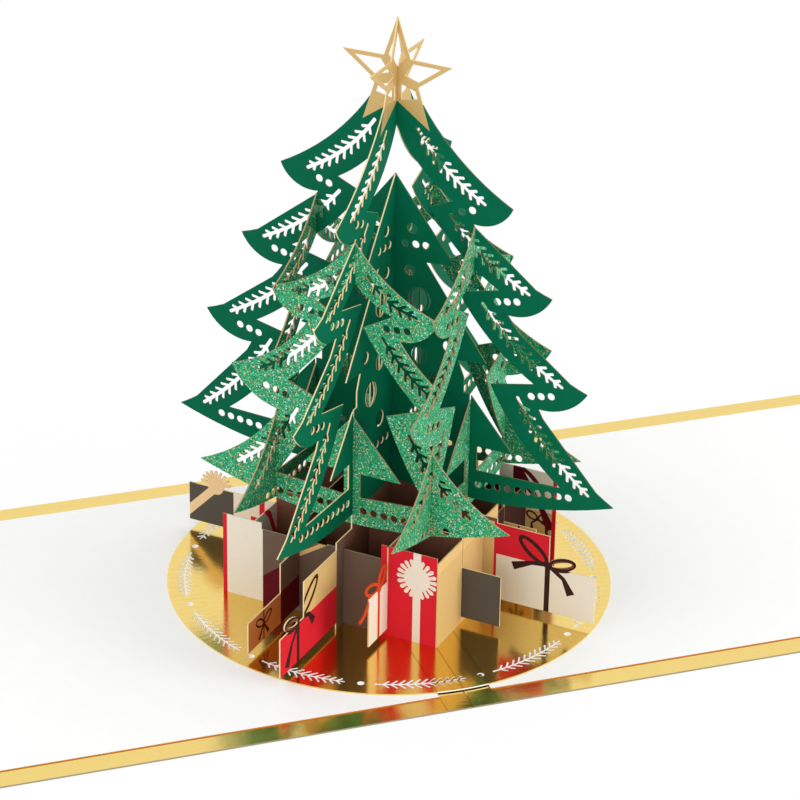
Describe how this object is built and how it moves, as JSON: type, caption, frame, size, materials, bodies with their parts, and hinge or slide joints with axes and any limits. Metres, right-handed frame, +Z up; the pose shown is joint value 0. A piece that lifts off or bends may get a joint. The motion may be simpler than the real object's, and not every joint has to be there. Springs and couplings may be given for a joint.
{
  "type": "pop up card",
  "caption": "Greeting card lying open, with a slotted paper Christmas tree, star and gift boxes that stand up from a gold disc over the fold.",
  "frame": {"origin": "centre of the open cover's underside, on the fold", "axes": "+X across the two open panels to the right, +Y along the fold to the back, +Z up"},
  "size_m": [0.444, 0.146, 0.1742],
  "materials": {
    "gold_card": "gold foil over card",
    "white_paper": "smooth matte white",
    "gold_foil": "mirror-like gold foil on paper",
    "green_paper": "matte dark green print, gold foil star",
    "glitter_paper": "green glitter on both faces",
    "brown_paper": "matte dark brown print",
    "gift_paper": "matte print in red, kraft, white and grey"
  },
  "bodies": {
    "root": {"cover": "gold_card", "left_liner": "white_paper", "right_liner": "white_paper", "base_disc": "gold_foil", "tree_sheet_left_right": "green_paper", "tree_sheet_front_back": "green_paper", "glitter_tree_front_left": "glitter_paper", "trunk_strip_front_left": "brown_paper", "gift_wall_front_left": "gift_paper", "glitter_tree_front_right": "glitter_paper", "trunk_strip_front_right": "brown_paper", "gift_wall_front_right": "gift_paper", "glitter_tree_back_left": "glitter_paper", "trunk_strip_back_left": "brown_paper", "gift_wall_back_left": "gift_paper", "glitter_tree_back_right": "glitter_paper", "trunk_strip_back_right": "brown_paper", "gift_wall_back_right": "gift_paper"}
  },
  "joints": []
}
